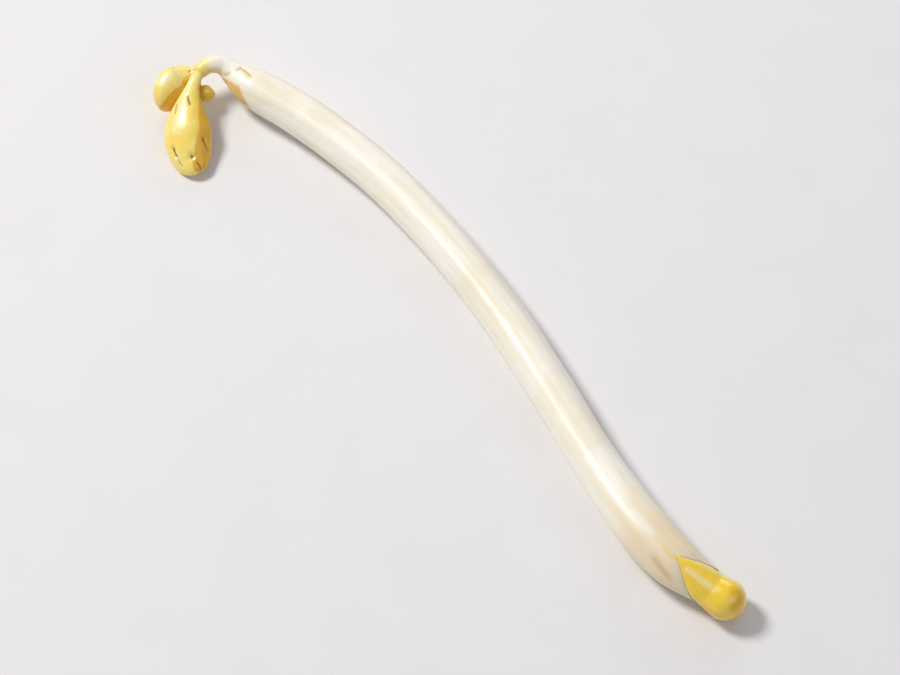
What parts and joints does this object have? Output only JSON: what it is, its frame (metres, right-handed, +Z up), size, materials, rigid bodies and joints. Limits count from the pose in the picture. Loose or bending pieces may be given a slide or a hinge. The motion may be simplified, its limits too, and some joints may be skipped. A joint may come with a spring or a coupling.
{
  "type": "mung bean sprout",
  "caption": "Mung bean sprout lying in a shallow bow: thick white stem with a hooked thin neck, yellow seed leaves, a small shoot bud and a swollen yellow root tip.",
  "frame": {"origin": "under the middle of the whole sprout's box, on the surface that it lies on", "axes": "+X runs along the sprout from its seed leaves to its root tip, +Y points to the outer side of its bow, and +Z is up, away from the surface"},
  "size_m": [0.0644, 0.0134, 0.0041],
  "materials": {
    "stem_white": "moist, satin, slightly translucent white plant flesh with a cream shade",
    "root_yellow": "moist, glossy bright yellow root tip",
    "seed_leaf_yellow": "waxy, glossy yellow seed leaf with a golden shade and small brown pits",
    "bud_yellow": "satin yellow young leaf"
  },
  "bodies": {
    "root": {"stem": "stem_white", "root_tip": "root_yellow", "seed_leaf_front": "seed_leaf_yellow", "seed_leaf_rear": "seed_leaf_yellow", "shoot_bud": "bud_yellow"}
  },
  "joints": []
}
